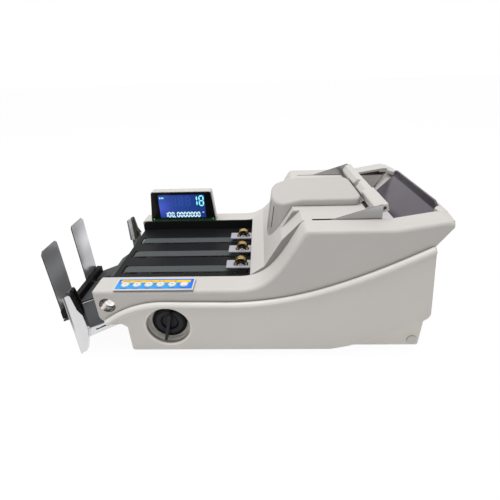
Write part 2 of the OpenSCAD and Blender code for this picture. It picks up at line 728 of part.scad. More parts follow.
module hopper_back() {
  y1 = iw - 17;
  x1 = shell_x1 + bow(y1) - wall - 1.6;
  z1 = rim_z + 3;
  color("slategray") intersection() {
    prism([[x1, rim_z - 6.6], [x1, z1], [x1 - 2.5, z1], [x1 - 2.5, rim_z - 6],
      [shell_x1 - 21.6 - wall, hop_z - 2],
      [shell_x1 - 18.2 - wall, hop_z - 2]], -y1, y1);
    slab(concat([[-y1, 0], [y1, 0]], curve([y1, z1 - 9], [y1, z1 - 3], [y1 - 3, z1], [y1 - 9, z1]),
      curve([-y1 + 9, z1], [-y1 + 3, z1], [-y1, z1 - 3], [-y1, z1 - 9])), shell_x1 - 40, shell_x1 + 10);
  }
}

module chute() {
  color("silver") prism([[42.5, ledge_z - 11], [feed_x - 19, feed_z + 6], [feed_x - 18.2,
    feed_z + 4.4], [43.3, ledge_z - 12.6]],
    -iw + play + 2.7, iw - play - 2.7);
}

module roller_shaft(x, z, r) {
  rod(x, z, -frame_y - 1.5, frame_y + 1.5, 6);
  for (y = [-42, 42]) rod(x, z, y - 11, y + 11, 2 * r);
}

module pickup_roller() {
  color("dimgray") union() {
    roller_shaft(pick_x, pick_z, 14.6);
    pulley(pick_x, pick_z, 12);
  }
}

module feed_roller() {
  color("dimgray") union() {
    roller_shaft(feed_x, feed_z, 15.5);
    pulley(feed_x, feed_z, 12);
  }
}

module frame() {
  y0 = frame_y - frame_t;
  difference() {
    prism([[idle_x - 7, cover_z0 + base_t + play], [base_end - 27.5, cover_z0 + base_t + play],
      [base_end - 27.5, deck_z - 32],
      [hop_x - 10.5, deck_z - 32], [91.5, hop_z], [83.5, hop_z], [55.5, ledge_z + 3.5], [35.5, axis_z + 6],
        [idle_x - 7, axis_z + 6]],
      y0, frame_y);
    block(idle_x - 9, base_x0 + 5, y0 - 1, frame_y + 1, 0, 60.2);
    for (p = [[deliver_x, axis_z], [idle_x, axis_z], [pick_x, pick_z], [feed_x, feed_z]])
      rod(p[0], p[1], y0 - 1, frame_y + 1, 6 + 2 * fit);
    rod(motor_x, motor_z, y0 - 1, frame_y + 1, 12);
  }
}

module frame_front() { color("silver") mirror([0, 1, 0]) frame(); }
module frame_back() { color("silver") frame(); }

module motor() {
  color("dimgray") difference() {
    union() {
      rod(motor_x, motor_z, frame_y - 98, frame_y - 28, 52);
      block(motor_x - 22, motor_x + 22, frame_y - 90, frame_y - 36, cover_z0 + base_t + play,
        motor_z - 10);
    }
    rod(motor_x, motor_z, frame_y - 58, frame_y - 18, 6 + 2 * fit);
  }
}

module motor_pulley() {
  color("silver") union() {
    rod(motor_x, motor_z, frame_y - 53, pulley_y1 + 0.4, 6);
    rod(motor_x, motor_z, pulley_y0, pulley_y1, 18);
  }
}

module belt_line(d) hull() {
  for (p = [[motor_x, motor_z, 9], [deliver_x, axis_z, 14], [feed_x, feed_z, 12], [pick_x, pick_z, 12]])
    translate([p[0], -p[1]]) circle(r = p[2] + d, $fn = 40);
}

module drive_belt() {
  color("dimgray") translate([0, pulley_y0 + 0.8, 0]) rotate([-90, 0, 0])
    linear_extrude(height = pulley_y1 - pulley_y0 - 1.6) difference() {
      belt_line(run + 1.4);
      belt_line(run);
    }
}

module rear_panel() {
  color("gainsboro") prism([[base_end - play, 46.2], [shell_x1 - 16, hop_z - 0.4],
    [shell_x1 - 18.6, hop_z - 0.4], [base_end - 2.6, 46.2]],
    -bhw + 0.2, bhw - 0.2);
}

module power_inlet() {
  color("black") difference() {
    union() {
      block(base_end + play, base_end + 2.2, inlet_y - 19, inlet_y + 19, inlet_z - 13, inlet_z + 13);
      block(base_end - 24, base_end + 1, inlet_y - 16.8, inlet_y + 16.8, inlet_z - 10.8,
        inlet_z + 10.8);
    }
    difference() {
      block(base_end - 16, base_end + 5, inlet_y - 12.5, inlet_y + 12.5, inlet_z - 8.5, inlet_z + 8.5);
      for (p = [[-7, -2], [7, -2], [0, 3]]) translate([base_end, inlet_y + p[0], inlet_z + p[1]])
        block(-17, -5, -1, 1, -2, 2);
    }
  }
}

rock_x = base_end - 2;

module switch_case() {
  color("black") difference() {
    union() {
      block(base_end + play, base_end + 1.6, switch_y - 12.5, switch_y + 12.5, inlet_z - 8.5,
        inlet_z + 8.5);
      block(base_end - 13, base_end + 1, switch_y - 10.8, switch_y + 10.8, inlet_z - 6.8,
        inlet_z + 6.8);
    }
    block(base_end - 7, base_end + 5, switch_y - 9, switch_y + 9, inlet_z - 5, inlet_z + 5);
    rod(rock_x, inlet_z, switch_y - 12, switch_y + 12, 3 + 2 * fit);
  }
}

module power_switch() {
  color("black") union() {
    translate([rock_x, switch_y, inlet_z]) rotate([0, 7, 0])
      prism([[-2, -4.2], [3.4, -4.2], [2.4, 0], [3.4, 4.2], [-2, 4.2]], -8.5, 8.5);
    rod(rock_x, inlet_z, switch_y - 10, switch_y + 10, 3);
  }
}

function floor_z(x) = catch_z + fall * (x - catch_x);

leg_x = shell_x0 - 34;

module catch_floor() {
  x0 = stop_x + 3;
  x1 = leg_x - 13.5;
  y1 = leg_y - leg_t - play;
  color("dimgray") difference() {
    union() {
      prism([[catch_x, catch_z], [x1, floor_z(x1)], [x1, floor_z(x1) - catch_t], [catch_x,
        catch_z - catch_t]], -y1, y1);
      prism([[x1 + 1, floor_z(x1 + 1)], [x0, floor_z(x0)], [x0, floor_z(x0) - catch_t], [x1 + 1,
        floor_z(x1 + 1) - catch_t]],
        -63, 63);
    }
    both() block(x0 - 1, x0 + 32, 27, 33, -10, 60);
    both() translate([0, 0, -10]) linear_extrude(height = 90)
      polygon([[x1 - 1, y1 - 24], [leg_x + 4, y1 + 1], [x1 - 1, y1 + 1]]);
  }
}

// Leg with the sloping arm that joins it to the base
module leg() {
  y0 = leg_y - leg_t;
  color("silver") difference() {
    union() {
      translate([leg_x, 0, 0]) prism([[0, 0.6], [9, 6.8], [15.5, 28.5], [18, 38], [18, 49.5],
        [17.2, 60.5], [12.8, 68], [9.5, 89],
        [0.3, 84.3]], y0, leg_y);
      prism([[leg_x + 13.5, floor_z(leg_x + 13.5) - 10], [catch_x, catch_z - 5], [catch_x, catch_z + 2],
        [leg_x + 17.5, floor_z(leg_x + 17.5) + 2.1]], y0, y0 + 3);
    }
    translate([leg_x + 33.5, 0, floor_z(leg_x + 33.5) - 1.6]) rotate([0, -25.6, 0])
      block(-8.4, 8.4, y0 - 1, leg_y + 1, -0.9, 0.9);
  }
}

module leg_front() { mirror([0, 1, 0]) leg(); }
module leg_back() { leg(); }

// Bright channels beside the legs, open towards the tray
module leg_linings() {
  y1 = leg_y - leg_t - play;
  x0 = leg_x + 0.5;
  x1 = leg_x + 12.9;
  color("silver") both() difference() {
    prism([[x0, 50], [x1, 53], [x1, 70], [leg_x + 10.1, 89.6], [leg_x + 8.1, 91],
      [leg_x + 0.9, 85.6]], y1 - 6.9, y1);
    prism([[x0 + 1.5, 40], [x1 + 2, 40], [x1 + 2, 88], [leg_x + 8.5, 88], [x0 + 2, 83.5]],
      y1 - 5.7, y1 - 0.9);
  }
}

module stop_bar() {
  x0 = stop_x + stop_t + play;
  color("black") union() {
    prism([[x0, floor_z(x0) + run], [x0 + 8, floor_z(x0 + 8) + run], [x0 + 8, floor_z(x0) + 13],
      [x0, floor_z(x0) + 13]], -61, 61);
    both() translate([x0 + 4.4, 30, floor_z(x0) - 6]) cylinder(h = 10, d = 5);
  }
}

module stop() {
  y0 = stop_gap / 2;
  y1 = y0 + stop_w;
  z0 = floor_z(stop_x + stop_t) + run;
  color("silver") slab([[y0, z0], [y1, z0], [y1, stop_z - 4], [y1 - 4, stop_z], [y0 + 3, stop_z],
    [y0, stop_z - 3]], stop_x, stop_x + stop_t);
}

module stop_front() { mirror([0, 1, 0]) stop(); }
module stop_back() { stop(); }

base();
plug();
feet();
cover_front();
cover_back();
upper_shell();
ramp();
hood();
tray_bed();
tray_belts();
press_rod();
press_arm_1();
press_arm_2();
press_arm_3();
press_wheel_1();
press_wheel_2();
press_wheel_3();
display_housing();
display_front();
display_screen();
display_lamps();
key_plate();
key_face();
key_1();
key_2();
key_3();
key_4();
key_5();
key_6();
knob();
flap_bar();
flap_wing_front();
flap_wing_back();
flap_shaft();
hopper_floor();
hopper_back();
chute();
pickup_roller();
feed_roller();
delivery_roller();
idler_roller();
frame_front();
frame_back();
motor();
motor_pulley();
drive_belt();
rear_panel();
power_inlet();
switch_case();
power_switch();
catch_floor();
leg_front();
leg_back();
leg_linings();
stop_bar();
stop_front();
stop_back();
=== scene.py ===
import json
import math

import bmesh
import bpy
from mathutils import Matrix, Vector

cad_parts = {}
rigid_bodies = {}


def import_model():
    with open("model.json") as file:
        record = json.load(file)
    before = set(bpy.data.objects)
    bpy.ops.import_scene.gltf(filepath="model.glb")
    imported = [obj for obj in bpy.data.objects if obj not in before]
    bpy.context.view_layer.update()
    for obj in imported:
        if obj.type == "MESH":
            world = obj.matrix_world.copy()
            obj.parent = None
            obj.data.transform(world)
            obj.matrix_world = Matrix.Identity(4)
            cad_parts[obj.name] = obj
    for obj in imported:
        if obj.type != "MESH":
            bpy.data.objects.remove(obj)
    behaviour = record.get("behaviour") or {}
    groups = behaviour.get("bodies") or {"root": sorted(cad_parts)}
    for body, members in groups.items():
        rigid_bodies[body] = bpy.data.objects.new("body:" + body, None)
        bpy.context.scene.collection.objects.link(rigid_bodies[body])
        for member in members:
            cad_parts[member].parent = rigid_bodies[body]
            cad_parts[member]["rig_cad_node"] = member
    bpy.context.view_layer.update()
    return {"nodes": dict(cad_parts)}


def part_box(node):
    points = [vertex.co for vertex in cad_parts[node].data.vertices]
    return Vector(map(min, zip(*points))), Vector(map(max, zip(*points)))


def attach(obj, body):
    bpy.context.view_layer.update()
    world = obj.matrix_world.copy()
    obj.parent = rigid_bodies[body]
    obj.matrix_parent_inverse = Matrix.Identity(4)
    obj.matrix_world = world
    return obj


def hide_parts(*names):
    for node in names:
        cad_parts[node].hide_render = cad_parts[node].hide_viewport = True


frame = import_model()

MM = 0.001

# Camera: a short lens held close above the near side of the counter, turned a
# little to the left, so that the long lines of the tray and hopper converge.
pitch = math.radians(28.772)
yaw = math.radians(-2.2236)
roll = math.radians(-1.7699)
look = Vector((math.sin(yaw) * math.cos(pitch), math.cos(yaw) * math.cos(pitch), -math.sin(pitch)))
level = Vector((math.cos(yaw), -math.sin(yaw), 0))
rise = level.cross(look)
across = level * math.cos(roll) + rise * math.sin(roll)
upward = rise * math.cos(roll) - level * math.sin(roll)
camera_at = Vector((38.0 * MM, -429.6 * MM, 308.6 * MM))
bpy.ops.object.camera_add(location=camera_at)
camera = bpy.context.active_object
turned = Matrix((across, upward, -look)).transposed().to_4x4()
camera.matrix_world = Matrix.Translation(camera_at) @ turned
camera.data.sensor_width = 36
camera.data.lens = 25.2
camera.data.shift_y = 0.012
camera.data.clip_start = 0.01
bpy.context.scene.camera = camera
bpy.context.scene.view_settings.view_transform = "Standard"

# Studio: a paper bench before a white sheet. The camera, metal and glass see
# both as white, and two soft lamps light it from above and from the front.


class Wire:
    """One output of a shader node. Arithmetic on wires adds Math nodes to their tree."""

    def __init__(self, tree, socket):
        self.tree = tree
        self.socket = socket

    def add(self, kind, inputs, output=0, **settings):
        """A new node with its settings, and the values or wires of its sockets."""
        node = self.tree.nodes.new(kind)
        for key, value in settings.items():
            setattr(node, key, value)
        for key, value in inputs.items():
            self.feed(node.inputs[key], value)
        return Wire(self.tree, node.outputs[output])

    def feed(self, socket, value):
        """Links a wire to a socket, or sets the socket to a plain value."""
        if isinstance(value, Wire):
            self.tree.links.new(value.socket, socket)
        elif hasattr(value, "__len__") and len(value) == 3 and socket.type == "RGBA":
            socket.default_value = (*value, 1)
        else:
            socket.default_value = value

    def math(self, operation, first, second):
        """A Math node on two values."""
        return self.add("ShaderNodeMath", {0: first, 1: second}, operation=operation)

    def __add__(self, other):
        return self.math("ADD", self, other)

    __radd__ = __add__

    def __mul__(self, other):
        return self.math("MULTIPLY", self, other)

    __rmul__ = __mul__

    def __sub__(self, other):
        return self.math("SUBTRACT", self, other)

    def __rsub__(self, other):
        return self.math("SUBTRACT", other, self)

    def __truediv__(self, other):
        return self.math("DIVIDE", self, other)

    def __abs__(self):
        return self.math("ABSOLUTE", self, 0)

    def wrap(self, period):
        """Distance to the nearest whole number of periods."""
        return self - self.math("FLOOR", self / period + 0.5, 0) * period

    def hypot(self, other):
        """Distance from the middle to a point with these two coordinates."""
        return self.math("SQRT", self * self + other * other, 0)

    def noise(self, scale, detail=2.0, rough=0.5, stretch=(1, 1, 1)):
        """Noise on these coordinates, drawn out along an axis whose stretch is small."""
        spread = self.add("ShaderNodeMapping", {"Vector": self, "Scale": stretch})
        sockets = {"Vector": spread, "Scale": scale, "Detail": detail, "Roughness": rough}
        return spread.add("ShaderNodeTexNoise", sockets)

    def part(self, axis):
        """One coordinate of a place."""
        return self.add("ShaderNodeSeparateXYZ", {0: self}, output="XYZ".index(axis))

    def step(self, low, high):
        """0 below low and 1 above high, with a soft edge between."""
        sockets = {"Value": self, 1: low, 2: high}
        return self.add("ShaderNodeMapRange", sockets, interpolation_type="SMOOTHSTEP")

    def within(self, low, high, soft):
        """1 between low and high, with a soft edge at both."""
        return self.step(low - soft, low + soft) * (1 - self.step(high - soft, high + soft))

    def mix(self, first, second):
        """A colour that goes from first to second as this value goes from 0 to 1."""
        return self.add("ShaderNodeMix", {0: self, 6: first, 7: second}, output=2, data_type="RGBA")

    def bump(self, depth, strength=1.0):
        """Relief of a depth in metres, for a Normal socket."""
        return self.add("ShaderNodeBump", {"Height": self, "Distance": depth, "Strength": strength})


def finish(name, **fixed):
    """A new material with its shader, and the piece's own coordinates as a wire."""
    material = bpy.data.materials.new(name)
    material.use_nodes = True
    tree = material.node_tree
    shader = tree.nodes["Principled BSDF"]
    for key, value in fixed.items():
        socket = shader.inputs[key.replace("_", " ").title().replace("Ior", "IOR")]
        socket.default_value = (*value, 1) if hasattr(value, "__len__") else value
    place = Wire(tree, tree.nodes.new("ShaderNodeTexCoord").outputs["Object"])
    return material, place, shader


def seen_rays(tree):
    """1 for what the camera, metal or glass sees of the background, and 0 for the light that it gives."""
    rays = tree.nodes.new("ShaderNodeLightPath")
    camera_ray = Wire(tree, rays.outputs["Is Camera Ray"])
    glossy_ray = Wire(tree, rays.outputs["Is Glossy Ray"])
    clear_ray = Wire(tree, rays.outputs["Is Transmission Ray"])
    mirrored = glossy_ray.math("MAXIMUM", glossy_ray, clear_ray)
    return camera_ray.math("MAXIMUM", camera_ray, mirrored)


world = bpy.data.worlds.new("white_sheet")
bpy.context.scene.world = world
world.use_nodes = True
sky_tree = world.node_tree
sky = sky_tree.nodes["Background"]
sky.inputs["Color"].default_value = (1, 1, 1, 1)
seen = seen_rays(sky_tree)
sky_light = 0.36
seen.feed(sky.inputs["Strength"], seen * (1 - sky_light) + sky_light)

bpy.ops.object.select_all(action="DESELECT")
bpy.ops.mesh.primitive_plane_add(size=14, location=(0, 0, -0.3 * MM))
bench = bpy.context.active_object
bench.name = "bench"
paper, place, shader = finish("bench_paper", base_color=(0.75, 0.75, 0.75), roughness=0.9)
tree = paper.node_tree
shown = seen_rays(tree)
white = tree.nodes.new("ShaderNodeEmission")
white.inputs["Color"].default_value = (1, 1, 1, 1)
white.inputs["Strength"].default_value = 1.06
white_share = 0.9
mixed = tree.nodes.new("ShaderNodeMixShader")
shown.feed(mixed.inputs[0], shown * white_share)
tree.links.new(shader.outputs[0], mixed.inputs[1])
tree.links.new(white.outputs[0], mixed.inputs[2])
tree.links.new(mixed.outputs[0], tree.nodes["Material Output"].inputs["Surface"])
bench.data.materials.append(paper)

for name, place_at, aim, width, power in (
    ("top_light", (-0.2, 0.05, 1.5), (0.0, 0, 0.1), 1.5, 18.5),
    ("front_light", (-0.7, -1.6, 1.2), (0, 0, 0.1), 1.2, 1.5),
):
    bpy.ops.object.light_add(type="AREA", location=place_at)
    lamp = bpy.context.active_object
    lamp.name = name
    lamp.data.shape = "SQUARE"
    lamp.data.size = width
    lamp.data.energy = power
    towards = Vector(aim) - Vector(place_at)
    lamp.rotation_euler = towards.to_track_quat("-Z", "Y").to_euler()

# Base tray: one deep moulding in warm light grey plastic that carries the
# frame, motor and power socket. Its edges are rounded in the mould.


def moulded(name, colour, roughness, grain=1400, relief=0.02 * MM, mottle=0.035, corner_shade=0.0, bead=0.0,
            **fixed):
    """Moulded plastic: a satin grain, faint flow mottle, rubbed patches, painted shade in corners, a painted
    highlight on the bead's upward faces.
    """
    material, place, shader = finish(name, **fixed)
    flow = place.noise(14, detail=4, rough=0.55)
    skin = place.noise(grain, detail=2)
    rubbed = place.noise(55, detail=5, rough=0.65)
    dark = [c * (1 - mottle) for c in colour]
    pale = [min(c * (1 + mottle), 1) for c in colour]
    tone = flow.mix(dark, pale)
    if corner_shade:
        # Painted shade: corners and recesses that ambient occlusion finds are darkened.
        open_to = place.add("ShaderNodeAmbientOcclusion", {"Distance": 9 * MM}, output="AO", samples=8)
        shaded = [c * (1 - corner_shade) for c in colour]
        tone = open_to.step(0.3, 0.8).mix(shaded, tone)
    # Painted highlight: the bead's faces that look upward are made paler, and glossier.
    if bead:
        facing = place.add("ShaderNodeNewGeometry", {}, output="Normal").part("Z").step(-0.25, 0.2)
        outside = abs(place.part("Y")).step(bead - 0.1 * MM, bead + 0.5 * MM) * facing
        tone = outside.mix(tone, [min(c * 1.28, 0.97) for c in colour])
        roughness = roughness - outside * 0.2
    place.feed(shader.inputs["Base Color"], tone)
    place.feed(shader.inputs["Roughness"], roughness - 0.04 + rubbed * 0.1 + skin * 0.06)
    place.feed(shader.inputs["Normal"], skin.bump(relief))
    return material


def cad_copy(node, name):
    """A copy of a CAD solid with its triangles merged and its flat faces made whole."""
    bpy.ops.object.select_all(action="DESELECT")
    solid = frame["nodes"][node]
    solid.select_set(True)
    bpy.context.view_layer.objects.active = solid
    bpy.ops.object.duplicate()
    piece = bpy.context.active_object
    piece.name = name
    del piece["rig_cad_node"]
    piece.data.materials.clear()
    bpy.ops.object.mode_set(mode="EDIT")
    bpy.context.tool_settings.mesh_select_mode = (False, True, False)
    bpy.ops.mesh.select_all(action="SELECT")
    bpy.ops.mesh.remove_doubles(threshold=0.004 * MM)
    bpy.ops.mesh.dissolve_limited(angle_limit=math.radians(0.4))
    bpy.ops.mesh.select_all(action="DESELECT")
    bpy.ops.object.mode_set(mode="OBJECT")
    return piece


def round_edges(piece, width, steps, wanted=None, sharpest=30):
    """Bevels the sharp edges that have room for it and whose middle and face normals meet a test."""
    bpy.context.view_layer.objects.active = piece
    bpy.ops.object.mode_set(mode="EDIT")
    bpy.context.tool_settings.mesh_select_mode = (False, True, False)
    bpy.ops.mesh.select_all(action="DESELECT")
    mesh = bmesh.from_edit_mesh(piece.data)
    sharp = set()
    for edge in mesh.edges:
        if len(edge.link_faces) == 2 and edge.calc_face_angle() > math.radians(sharpest):
            middle = (edge.verts[0].co + edge.verts[1].co) / 2 / MM
            if not wanted or wanted(middle, *(face.normal for face in edge.link_faces)):
                sharp.add(edge)
    tight = set()
    for vertex in mesh.verts:
        corner = sum(edge in sharp for edge in vertex.link_edges) > 2
        for edge in vertex.link_edges:
            if edge.calc_length() < 2 * width and (corner or edge not in sharp):
                tight.add(vertex)
    for edge in sharp:
        edge.select_set(not tight.intersection(edge.verts))
    bmesh.update_edit_mesh(piece.data)
    bpy.ops.mesh.bevel(offset=width, segments=steps, affect="EDGES", clamp_overlap=False)
    bpy.ops.mesh.select_all(action="DESELECT")
    bpy.ops.object.mode_set(mode="OBJECT")


def smooth(piece):
    """Shades a piece smooth, with its large faces flat."""
    bpy.ops.object.select_all(action="DESELECT")
    piece.select_set(True)
    bpy.ops.object.shade_smooth_by_angle(angle=math.radians(35))
    even = piece.modifiers.new("even_shading", "WEIGHTED_NORMAL")
    even.weight = 100
    even.keep_sharp = True
    bpy.ops.object.modifier_apply(modifier=even.name)


def soften(piece, width, steps=2, sharpest=30):
    """Rounds every edge that is still sharp, then shades the piece smooth."""
    round_edges(piece, width, steps, None, sharpest)
    smooth(piece)


def two_tone(piece, main, other, test):
    """Puts one finish on a piece, and another on the faces that meet a test."""
    piece.data.materials.append(main)
    piece.data.materials.append(other)
    for face in piece.data.polygons:
        face.material_index = int(test(face))


def fit(piece, body, slot, material, *nodes):
    """Puts the finish on a piece, ties it to its body and hides the solids it stands for. The slot is not
    used.
    """
    if not piece.data.materials:
        piece.data.materials.append(material)
    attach(piece, body)
    if nodes:
        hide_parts(*nodes)
    return piece


def dressed(node, body, slot, material, width, steps=2, sharpest=30):
    """A CAD solid as a finished piece: merged, rounded at its edges and smooth."""
    piece = cad_copy(node, node + "_piece")
    soften(piece, width, steps, sharpest)
    return fit(piece, body, slot, material, node)


shell_grey = (0.645, 0.62, 0.59)
# Painted shade darkens the corners of the shell's plastic.
shell_plastic = moulded("shell_plastic", shell_grey, 0.42, corner_shade=0.4)
# Painted light: the base is coloured paler than the shell, for light that its recessed sides lack.
base_plastic_lit = moulded("base_plastic_lit", (0.9, 0.85, 0.79), 0.42, corner_shade=0.4)
dressed("base", "body", "shell", base_plastic_lit, 0.8 * MM)
# Painted light: the plug is coloured paler, for light that its recessed place lacks.
plug_plastic_lit = moulded("plug_plastic_lit", (0.74, 0.72, 0.68), 0.45, corner_shade=0.3)
dressed("plug", "body", "plug", plug_plastic_lit, 0.5 * MM)

# Feet: four short round feet of black rubber, moulded with a slight taper and
# fixed under the corners of the base.
foot_rubber = moulded("foot_rubber", (0.03, 0.03, 0.03), 0.75, grain=600, relief=0.08 * MM)
dressed("feet", "body", "rubber", foot_rubber, 1.2 * MM, 3)

# Side frames: two plates cut from bright rolled steel sheet. They stand on the
# floor of the base and carry every shaft.


def sheet_steel(name, colour, roughness, along, **fixed):
    """Rolled steel sheet with fine brush lines along one axis."""
    material, place, shader = finish(name, metallic=1.0, **fixed)
    stretch = {"X": (0.03, 1, 1), "Y": (1, 0.03, 1), "Z": (1, 1, 0.03)}[along]
    lines = place.noise(2600, detail=2, stretch=stretch)
    stain = place.noise(30, detail=4)
    place.feed(shader.inputs["Base Color"], stain.mix([c * 0.9 for c in colour], colour))
    place.feed(shader.inputs["Roughness"], roughness - 0.06 + lines * 0.08 + stain * 0.08)
    place.feed(shader.inputs["Normal"], lines.bump(0.006 * MM))
    return material


frame_steel = sheet_steel("frame_steel", (0.62, 0.62, 0.63), 0.34, "X")
dressed("frame_front", "body", "steel", frame_steel, 0.25 * MM, 1)
dressed("frame_back", "body", "steel", frame_steel, 0.25 * MM, 1)

# Motor: a dark painted can on a saddle, with a steel pulley on its shaft and one
# flat belt of rubber on woven cloth round the pulleys of the driven shafts.
motor_paint = moulded("motor_paint", (0.06, 0.062, 0.066), 0.4, grain=900)
dressed("motor", "body", "motor", motor_paint, 1 * MM)
dressed("motor_pulley", "drive", "steel", frame_steel, 0.4 * MM)


def woven(name, colour, pitch, along):
    """Rubber on woven cloth: fine crossing ribs, darker in their hollows, with patches of dust."""
    material, place, shader = finish(name)
    ribs = place.part(along) * (2 * math.pi / pitch)
    wales = place.part("Y") * (2 * math.pi / pitch)
    weave = ribs.math("SINE", ribs, 0) * wales.math("SINE", wales, 0) * 0.5 + 0.5
    dust = place.noise(40, detail=5)
    place.feed(shader.inputs["Base Color"], (weave * 0.4 + dust * 0.6).mix([c * 0.6 for c in colour], colour))
    place.feed(shader.inputs["Roughness"], 0.62 + dust * 0.2)
    place.feed(shader.inputs["Normal"], weave.bump(0.06 * MM, 0.6))
    return material


belt_cloth = woven("belt_cloth", (0.075, 0.085, 0.085), 1.1 * MM, "X")
dressed("drive_belt", "body", "belt", belt_cloth, 0.2 * MM, 1)

# Pick-up, feed, delivery and idler rollers: rubber tyres on ground steel
# shafts, the driven ones with a dark pulley at the far end.
roller_rubber = moulded("roller_rubber", (0.028, 0.027, 0.027), 0.7, grain=500, relief=0.1 * MM)
shaft_steel = sheet_steel("shaft_steel", (0.66, 0.66, 0.67), 0.22, "Y")
shaft_r = 3.3 * MM
for body in ("pickup", "feed", "delivery", "idler"):
    node = body + "_roller"
    roller = cad_copy(node, node + "_piece")
    soften(roller, 0.4 * MM)
    low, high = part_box(node)
    axis = (low + high) / 2
    two_tone(roller, roller_rubber, shaft_steel,
             lambda face: math.hypot(face.center.x - axis.x, face.center.z - axis.z) < shaft_r)
    fit(roller, body, "rubber", roller_rubber, node)

# Tray bed: a black moulding between the ledges with upstanding side walls,
# and three dark cloth belts that run in its long slots.
tray_black = moulded("tray_black", (0.011, 0.0112, 0.012), 0.42, grain=1100, mottle=0.12,
                     specular_ior_level=0.08)


def pick_faces(piece, test):
    """Goes into edit mode with only the faces selected that meet a test."""
    bpy.context.view_layer.objects.active = piece
    bpy.ops.object.mode_set(mode="EDIT")
    bpy.context.tool_settings.mesh_select_mode = (False, False, True)
    bpy.ops.mesh.select_all(action="DESELECT")
    mesh = bmesh.from_edit_mesh(piece.data)
    for face in mesh.faces:
        face.select_set(test(face))
    bmesh.update_edit_mesh(piece.data)


bed = cad_copy("tray_bed", "tray_bed_piece")
slot_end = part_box("tray_belts")[0].x - 2 * MM
slot_shift = 4 * MM
pick_faces(bed, lambda face: face.normal.x > 0.9 and abs(face.calc_center_median().x - slot_end) < 1 * MM)
bpy.ops.transform.translate(value=(slot_shift, 0, 0))
bpy.ops.object.mode_set(mode="OBJECT")
soften(bed, 0.7 * MM, 3)
fit(bed, "body", "black", tray_black, "tray_bed")
dressed("tray_belts", "body", "belt", belt_cloth, 0.25 * MM, 1)

# Upper shell: the big light grey moulding with the two ledges, the swept
# shoulders, the deck and the hopper rims. Its outer edges are well rounded.
shell = cad_copy("upper_shell", "upper_shell_piece")
soften(shell, 0.7 * MM)
slot_shade = moulded("slot_shade", (0.035, 0.033, 0.031), 0.6)
slots_from = (91, 81, 140)
slots_to = (157, 87, 162)


def in_deck_slot(face):
    """True for the walls of the two slots in the deck that the flap's wings come up through."""
    if abs(face.normal.y) <= 0.9:
        return False
    middle = face.center / MM
    spot = (middle.x, abs(middle.y), middle.z)
    return all(low < value < high for low, value, high in zip(slots_from, spot, slots_to))


two_tone(shell, shell_plastic, slot_shade, in_deck_slot)
fit(shell, "body", "shell", shell_plastic, "upper_shell")

# Port cup: a turned and plated cup pressed into the round hole in the near
# wall of the shell, open to the outside and rounded at its bottom.
cup_at = (-137.2 * MM, -108.2 * MM, 73.6 * MM)
cup_r = 9.1 * MM
cup_long = 12 * MM
cup_wall = 0.8 * MM
cup_hollow = 10.5 * MM
cup_span = 9 * MM
cup_floor_from = -105
bpy.ops.object.select_all(action="DESELECT")
bpy.ops.mesh.primitive_cylinder_add(vertices=64, radius=cup_r, depth=cup_long, location=cup_at,
                                    rotation=(math.pi / 2, 0, 0))
cup = bpy.context.active_object
cup.name = "port_cup"
bpy.ops.object.transform_apply(location=True, rotation=True, scale=True)
pick_faces(cup, lambda face: face.normal.y < -0.9)
bpy.ops.mesh.inset(thickness=cup_wall)
bpy.ops.transform.translate(value=(0, cup_hollow, 0))
bpy.ops.object.mode_set(mode="OBJECT")
round_edges(cup, 3 * MM, 5, lambda m, a, b: m.y > cup_floor_from and min(a.y, b.y) < -0.5)
soften(cup, 0.25 * MM)
cup_plate, place, shader = finish("cup_plate", metallic=1.0)
smear = place.noise(160, detail=4)
height = (place.part("Z") - cup_at[2]) / cup_span
across_cup = (place.part("X") - cup_at[0]) / cup_span
# Painted shade and painted reflection: the upper left of the cup is dark blue-grey with brown patches, the
# lower right near-white.
shaded_upper_left = (height * 0.8 - across_cup * 0.45 + smear * 0.5 - 0.25).step(0.02, 0.3)
blotches = smear.step(0.5, 0.62).mix((0.07, 0.075, 0.09), (0.2, 0.12, 0.1))
place.feed(shader.inputs["Base Color"], shaded_upper_left.mix((0.92, 0.9, 0.88), blotches))
place.feed(shader.inputs["Roughness"], 0.16 + smear * 0.12)
place.feed(shader.inputs["Normal"], smear.bump(0.02 * MM))
fit(cup, "body", "bright", cup_plate)

# Ramp: a separate moulding that drops from the deck to the tray between the
# shoulders, with a low ridge at its foot and a shallower step at each side.
ramp = cad_copy("ramp", "ramp_piece")
soften(ramp, 0.6 * MM, 2, 8)
# Painted shade: the ramp's side faces are coloured at half the shell's grey.
ramp_side_shade = moulded("ramp_side_shade", [c * 0.5 for c in shell_grey], 0.5)
two_tone(ramp, shell_plastic, ramp_side_shade, lambda face: abs(face.normal.y) > 0.8)
fit(ramp, "body", "shell", shell_plastic, "ramp")

# Hood: a shallow cover moulded in the same plastic, set into the deck, with a
# deep round nose that is ribbed by four narrow slots.
hood = cad_copy("hood", "hood_piece")
hood_edge = 162.3
nose_half = 33 * MM
nose_end = 66 * MM
round_edges(hood, 3.5 * MM, 5,
            lambda m, a, b: max(a.z, b.z) > 0.8 and min(a.z, b.z) < 0.45 and m.z > hood_edge)
soften(hood, 0.5 * MM)
# Painted shade: the hood is coloured darker than the shell's plastic, to tone down its high top.
hood_plastic_shaded = moulded("hood_plastic_shaded", [c * 0.84 for c in shell_grey], 0.42, corner_shade=0.4)
two_tone(hood, hood_plastic_shaded, slot_shade, lambda face: abs(face.normal.y) > 0.9
         and abs(face.center.y) < nose_half and face.center.x < nose_end)
fit(hood, "body", "shell", hood_plastic_shaded, "hood")

